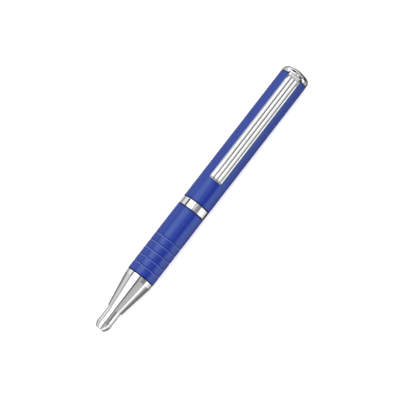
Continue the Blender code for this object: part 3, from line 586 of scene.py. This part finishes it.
def makeClip():
    # The section carried along the path: a point across it stands off the path along its normal by
    # half the sheet, plus the ridges on top. Each end closes by rows whose thickness shrinks to none.
    # The free end's corners are quarter circles, which pull the rows there in towards the middle.
    path, freeEnd, root, tab = clipPath()
    across, drop = clipSection()
    step = np.gradient(path, axis=0)
    step /= np.linalg.norm(step, axis=1, keepdims=True)
    normal = np.stack([step[:, 1], -step[:, 0]], -1)
    toFreeEnd = path[:, 0] - freeEnd + clip["sheet"] / 2 - clip["ridgeEnd"]
    toRoot = root - path[:, 0]
    half = clip["sheet"] / 2
    thin = (1 - clip["rootThin"] * np.interp(path[:, 0], [root, tab], [0, 1]))[:, None]
    rise = ridgeHeight(across[None, :], toFreeEnd[:, None], toRoot[:, None])
    rise = rise - bevelDrop(across[None, :], path[:, :1], root, tab)
    rise = rise - clip["crowning"] * across[None, :]**2
    top = (half - drop[None, :] + rise) * thin
    bottom = -(half - drop[None, :]) * thin + 0 * rise
    offset = np.concatenate([top, bottom[:, ::-1]], 1)
    wide = np.concatenate([across, across[::-1]])[None, :] + 0 * offset
    turn = np.linspace(0, math.pi / 2, clip["turnPoints"])[1:]
    squeeze, reach = np.cos(turn), clip["endReach"] * np.sin(turn)

    def cap(row, direction):
        # Rows past one end: the thickness follows a cosine as the end moves out with the sine.
        places = path[row] + direction * step[row] * reach[:, None]
        return places, np.repeat(normal[row][None], len(turn), 0), offset[row] * squeeze[:, None]

    startPath, startNormal, startOffset = (a[::-1] for a in cap(0, -1))
    endPath, endNormal, endOffset = cap(-1, 1)
    path = np.concatenate([startPath, path, endPath])
    normal = np.concatenate([startNormal, normal, endNormal])
    offset = np.concatenate([startOffset, offset, endOffset])
    wide = wide[:1] + 0 * offset
    station = path[:, :1] + normal[:, :1] * offset
    height = path[:, 1:] + normal[:, 1:] * offset
    fromEnd = np.clip(station - (freeEnd - half), 0, clip["cornerRadius"])
    pull = clip["cornerRadius"] - np.sqrt(clip["cornerRadius"]**2 - (clip["cornerRadius"] - fromEnd)**2)
    wide = wide * (1 - pull / (clip["width"] / 2)) + clip["sideways"]
    grid = np.stack([noseEnd + station * mm, wide * mm, axisHeight + height * mm], -1)
    side = np.concatenate([drop, drop[::-1]])[None, :] / clip["edge"]
    atEnd = np.interp(station, [freeEnd, freeEnd + clip["lipBend"]], [1, 0])
    wornAndPaintedLight = np.clip(clip["edgeWear"] * side + atEnd, 0, 1)
    makePiece("pocketClip", grid, wornAndPaintedLight, False, clipChrome, "clip")


def makeInnerTube():
    # A plain tube.
    front, rear = span("inner_tube")
    bore, radius, edge, boreEdge = (innerTube[key] for key in ("bore", "radius", "edge", "boreEdge"))
    corners = [(rear, bore, boreEdge), (rear, radius, edge), (front, radius, edge), (front, bore, boreEdge)]
    turnedPiece("innerTube", corners, turnedChrome, "inner_tube")


tip = dict(
    seatRadius=0.845, seatLength=3.0, collarRadius=1.175, collarLength=2.1, bodyRadius=1.095, coneLength=2.6,
    pointRadius=0.62, pointLength=0.9, endRadius=0.40, lipRadius=0.33, lipDepth=0.09,
    socketRadius=0.38, socketDepth=0.555, channelRadius=0.22, channelAt=0.74, steps=96)


def makeTip():
    # Seat for the refill tube, collar, body, cone and point outside, with the ball's socket and the
    # ink channel through it.
    front, rear = span("refill_tip")
    shoulder = rear - tip["seatLength"]
    corners = [
        (rear, tip["seatRadius"], 0.08), (shoulder, tip["seatRadius"], 0.03),
        (shoulder, tip["collarRadius"], 0.06), (shoulder - tip["collarLength"], tip["bodyRadius"], 0.3),
        (front + tip["coneLength"], tip["bodyRadius"], 0.4),
        (front + tip["pointLength"], tip["pointRadius"], 0.5),
        (front, tip["endRadius"], 0.04), (front, tip["lipRadius"], 0.02),
        (front + tip["lipDepth"], tip["socketRadius"], 0.03),
        (front + tip["socketDepth"], tip["socketRadius"], 0.1),
        (front + tip["channelAt"], tip["channelRadius"], 0.05), (rear, tip["channelRadius"], 0.05)]
    turnedPiece("writingPoint", corners, nickelSilver, "refill_tip", tip["steps"])


ball = dict(points=49, steps=96)


def makeBall():
    # A half circle turned about the pen's axis.
    low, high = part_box("tip_ball")
    centre, radius = ((low.x + high.x) / 2 - noseEnd) / mm, (high.x - low.x) / 2 / mm
    turn = np.linspace(0, math.pi, ball["points"])[:, None]
    grid = turnedGrid(centre - radius * np.cos(turn), radius * np.sin(turn), wholeTurn(ball["steps"]))
    makePiece("ball", grid, 0, False, carbide, "tip_ball")


spring = dict(wire=0.12, turns=7, deadTurns=1, deadPitch=0.27, travel=3.0, rings=24, around=12)


def makeSpring():
    # A round wire along a helix: each end lies nearly flat for its dead turns, and the station
    # rises evenly over the turns between. The wire's section turns with the helix.
    low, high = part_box("return_spring")
    wire, dead = spring["wire"], spring["deadTurns"]
    front, rear = span("return_spring")
    coil = (high.y - low.y) / 2 / mm - wire
    turns = spring["turns"] + 2 * dead
    turn = np.linspace(0, turns, turns * spring["rings"] + 1)
    rise = dead * spring["deadPitch"]
    station = np.interp(turn, [0, dead, turns - dead, turns],
                        [front + wire, front + wire + rise, rear - wire - rise, rear - wire])
    angle = 2 * math.pi * turn[:, None]
    section = wholeTurn(spring["around"])
    thick = np.full((len(turn), 1), wire)
    station = np.concatenate([station[:1], station, station[-1:]])[:, None]
    angle, thick = np.concatenate([angle[:1], angle, angle[-1:]]), np.concatenate([[[0]], thick, [[0]]])
    grid = turnedGrid(station + thick * np.sin(section), coil + thick * np.cos(section), angle)
    piece = makePiece("refillSpring", grid, 0, False, steel, "return_spring")
    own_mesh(piece)


for make in (makeNose, makeGrip, makeRearBarrel, makeCentreRing, makeCrown, makeClip,
             makeInnerTube, makeTip, makeBall, makeSpring):
    make()
print("pieces made")

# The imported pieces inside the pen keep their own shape.
plainNodes = dict(
    joint_bush=brass, stop_ring=brass, guide_sleeve=greyPlastic, thrust_washer=steel,
    tube_end_bush=blackPlastic, slide_bush=whitePlastic, crown_insert=brass, drive_rod=steel, rod_pin=steel,
    cam_rotor=steel, drive_nut=brass, refill_holder=whitePlastic, refill_tube=steel)
for node, material in plainNodes.items():
    slots = frame["nodes"][node].data.materials
    slots.clear()
    slots.append(material)


floorLook = dict(size=6.0, colour=(0.95, 0.95, 0.95), patchScale=3, patchShare=0.2, patchShade=0.985,
                 roughness=0.6, specular=0.1, glow=0.35)


def makeFloor():
    # A pale square that glows a little, with patches faintly darker than the rest. Chrome and
    # lacquer don't mirror it.
    look = floorLook
    material, tree, shader = newMaterial("floor")
    patches = spread(tree, noise(tree, objectPlace(tree), look["patchScale"], 2), 0, look["patchShare"])
    pale = look["colour"]
    darker = tuple(c * look["patchShade"] for c in pale)
    tree.links.new(mixColour(tree, patches, pale, darker), shader.inputs["Base Color"])
    shader.inputs["Roughness"].default_value = look["roughness"]
    shader.inputs["Specular IOR Level"].default_value = look["specular"]
    shader.inputs["Emission Color"].default_value = (*pale, 1)
    shader.inputs["Emission Strength"].default_value = look["glow"]
    half = look["size"] / 2
    mesh = bpy.data.meshes.new("floor")
    corners = [(-half, -half, 0), (half, -half, 0), (half, half, 0), (-half, half, 0)]
    mesh.from_pydata(corners, [], [(0, 1, 2, 3)])
    mesh.materials.append(material)
    floor = bpy.data.objects.new("floor", mesh)
    floor.visible_glossy = False
    scene.collection.objects.link(floor)


# Brightness of the studio round the pen: (degrees from overhead towards -y, brightness) in bands
# that follow one another as a direction leans from the nose (-1) to the crown (1) between the
# two leans where each band takes over.
studio = dict(
    steep=dict(stops=(
        (-180, 0.30), (-120, 0.70), (-64, 0.80), (-56, 1.25), (-7, 1.25), (-4, 0.15), (3, 0.15), (7, 0.50),
        (42, 0.50), (47, 1.25), (88, 1.25), (96, 0.35), (180, 0.20))),
    raked=dict(turn=(-0.50, -0.42), stops=(
        (-180, 0.25), (-126, 0.25), (-116, 0.30), (-106, 0.80), (-74, 0.78), (-71, 0.40), (-63, 0.40),
        (-58, 1.30), (-6, 1.35), (-4, 0.03), (4, 0.03), (6, 0.50), (16, 0.56), (55, 0.62), (58, 0.50),
        (61, 0.50), (64, 1.40), (76, 1.40), (84, 0.75), (94, 0.55), (103, 0.30), (114, 0.20),
        (128, 0.20), (150, 0.40), (180, 0.30))),
    level=dict(turn=(-0.10, -0.03), stops=(
        (-180, 0.40), (-150, 0.60), (-136, 0.42), (-124, 0.42), (-112, 0.75), (-95, 1.05), (-75, 1.05),
        (-71, 0.25), (-60, 0.25), (-56, 1.40), (-50, 2.00), (-28, 2.00), (-7, 1.40), (-4, 0.02),
        (4, 0.02), (6, 0.60), (16, 0.52), (28, 0.34), (59, 0.22), (63, 1.25), (70, 1.40), (91, 1.30),
        (98, 0.85), (118, 0.88), (128, 0.60), (138, 0.12), (180, 0.05))),
    straight=dict(turn=(0.07, 0.10), stops=(
        (-180, 0.40), (-150, 0.75), (-134, 0.75), (-122, 0.30), (-114, 0.30), (-108, 0.72),
        (-96, 0.95), (-75, 1.05), (-72, 0.02), (-60, 0.02), (-56, 1.50), (-50, 2.40), (-28, 2.40),
        (-12, 1.60), (-4, 1.40), (-3, 0.10), (1.5, 0.10), (2.5, 1.20), (6, 1.20), (9, 0.50), (30, 0.36),
        (38, 0.26), (44, 0.26), (48, 1.30), (92, 1.40), (97, 0.92), (118, 0.85), (124, 0.06),
        (180, 0.02))),
    risen=dict(turn=(0.13, 0.16), stops=(
        (-180, 0.10), (-150, 0.35), (-100, 0.70), (-84, 0.80), (-79, 1.35), (-11, 1.35), (-9, 0.40),
        (-0.6, 0.40), (0.6, 1.40), (14, 1.30), (22, 0.50), (27, 0.02),
        (51, 0.02), (55, 1.40), (77, 1.40), (85, 0.60), (122, 0.45), (140, 0.10), (180, 0.03))),
    domed=dict(turn=(0.27, 0.36), stops=(
        (-180, 0.30), (-100, 0.60), (-94, 1.30), (-74, 1.30), (-66, 0.45), (-52, 0.45), (-48, 0.02),
        (-26, 0.02), (-21, 0.45), (40, 0.55), (68, 0.40), (74, 0.02), (112, 0.02), (120, 0.35), (180, 0.25))),
    endOn=dict(turn=(0.84, 0.90), stops=(
        (-180, 0.35), (-100, 0.45), (-88, 1.30), (-48, 1.30), (-38, 0.80), (30, 0.80), (44, 0.08),
        (95, 0.08), (110, 0.35), (180, 0.35))))
air = dict(strength=1.0, backdrop=(1.0, 1.0, 1.0))


def studioBand(tree, share, stops):
    # Brightness by angle round the pen, as a ramp over one whole turn.
    node = addNode(tree, "ShaderNodeValToRGB", {"Fac": share})
    ramp = node.color_ramp
    ramp.interpolation = "LINEAR"
    while len(ramp.elements) < len(stops):
        ramp.elements.new(0.5)
    for element, (angle, brightness) in zip(ramp.elements, stops):
        element.position = (angle + 180) / 360
        element.color = (brightness, brightness, brightness, 1)
    return node.outputs["Color"]


def makeStudio():
    # The light from a direction: its angle about the pen's axis chooses a place in each band, and
    # how far it leans along the axis mixes each band with the next.
    world = bpy.data.worlds.new("studio")
    world.use_nodes = True
    scene.world = world
    tree = world.node_tree
    background = tree.nodes["Background"]
    direction = addNode(tree, "ShaderNodeTexCoord").outputs["Generated"]
    parts = addNode(tree, "ShaderNodeSeparateXYZ", {"Vector": direction}).outputs
    angle = maths(tree, "ARCTAN2", maths(tree, "MULTIPLY", parts["Y"], -1), parts["Z"])
    share = maths(tree, "ADD", maths(tree, "DIVIDE", angle, 2 * math.pi), 0.5)
    light = None
    for band in studio.values():
        colour = studioBand(tree, share, band["stops"])
        if light is None:
            light = colour
        else:
            taken = spread(tree, parts["X"], 0, 1, *band["turn"])
            light = mixColour(tree, taken, light, colour)
    seen = addNode(tree, "ShaderNodeLightPath").outputs["Is Camera Ray"]
    tree.links.new(mixColour(tree, seen, light, air["backdrop"]), background.inputs["Color"])
    background.inputs["Strength"].default_value = air["strength"]


softBoxes = (
    dict(name="overhead", place=(0.05, 0.25, 0.75), size=(0.7, 0.5), watts=5.0),
    dict(name="side", place=(-0.1, -0.6, 0.35), size=(0.5, 0.3), watts=1.5))


def makeSoftBox(name, place, size, watts):
    # A rectangle of light facing the pen, which isn't seen itself.
    light = bpy.data.lights.new(name, "AREA")
    light.shape = "RECTANGLE"
    light.size, light.size_y = size
    light.energy = watts
    box = bpy.data.objects.new(name, light)
    box.location = place
    box.rotation_euler = (Vector((0, 0, 0)) - Vector(place)).to_track_quat("-Z", "Y").to_euler()
    box.visible_camera = False
    box.visible_glossy = False
    scene.collection.objects.link(box)


shot = dict(distance=0.467, lean=7.3, turn=52.24, lens=132.1, sensor=36.0, aim=(-0.00055, -0.00007))


def makeCamera():
    # The camera leans from straight above towards the nose, and is rolled so that the pen points
    # up to the right: its right and up axes are the pen's direction and the one across, turned.
    data = bpy.data.cameras.new("camera")
    data.lens, data.sensor_width = shot["lens"], shot["sensor"]
    camera = bpy.data.objects.new("camera", data)
    lean, turn = math.radians(shot["lean"]), math.radians(shot["turn"])
    middle = Vector((noseEnd + penEnd * mm / 2, 0, axisHeight))
    back = Vector((-math.sin(lean), 0, math.cos(lean)))
    along = Vector((math.cos(lean), 0, math.sin(lean)))
    over = back.cross(along)
    right = along * math.cos(turn) - over * math.sin(turn)
    up = along * math.sin(turn) + over * math.cos(turn)
    aim = middle + along * shot["aim"][0] + over * shot["aim"][1]
    place = Matrix((right, up, back)).transposed().to_4x4()
    place.translation = aim + back * shot["distance"]
    camera.matrix_world = place
    scene.collection.objects.link(camera)
    scene.camera = camera


scene.view_settings.view_transform = "Standard"
makeFloor()
makeStudio()
for box in softBoxes:
    makeSoftBox(**box)
makeCamera()
print("studio made")
